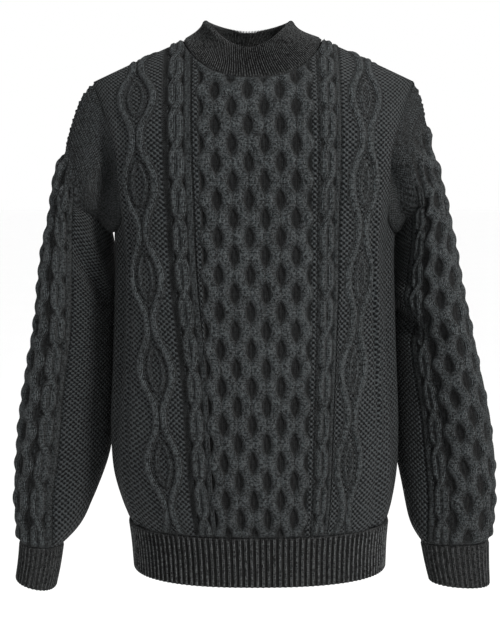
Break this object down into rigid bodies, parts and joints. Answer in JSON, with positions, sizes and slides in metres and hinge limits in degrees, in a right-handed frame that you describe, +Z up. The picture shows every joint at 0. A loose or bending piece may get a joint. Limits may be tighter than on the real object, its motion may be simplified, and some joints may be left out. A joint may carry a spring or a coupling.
{
  "type": "crewneck sweater",
  "caption": "Long-sleeved crewneck sweater in cable knit with ribbed neck, cuffs and hem, filled out as worn with no wearer.",
  "frame": {"origin": "middle of the neck, level with the shoulder seams' neck ends, where the wearer holds the sweater up", "axes": "+Z up, -Y out of the front, +X to the right of a viewer who faces the front"},
  "size_m": [0.5902, 0.2634, 0.6922],
  "materials": {
    "front": "matte heathered wool knit, very dark charcoal",
    "back": "matte heathered wool knit, very dark charcoal",
    "sleeve_left": "matte heathered wool knit, very dark charcoal",
    "sleeve_right": "matte heathered wool knit, very dark charcoal",
    "hem_rib_front": "matte heathered wool knit, very dark charcoal",
    "hem_rib_back": "matte heathered wool knit, very dark charcoal",
    "cuff_left": "matte heathered wool knit, very dark charcoal",
    "cuff_right": "matte heathered wool knit, very dark charcoal",
    "neckband": "matte heathered wool knit, very dark charcoal"
  },
  "bodies": {
    "root": {"front": "front", "back": "back", "sleeve_left": "sleeve_left", "sleeve_right": "sleeve_right", "hem_rib_front": "hem_rib_front", "hem_rib_back": "hem_rib_back", "cuff_left": "cuff_left", "cuff_right": "cuff_right", "neckband": "neckband"}
  },
  "joints": []
}
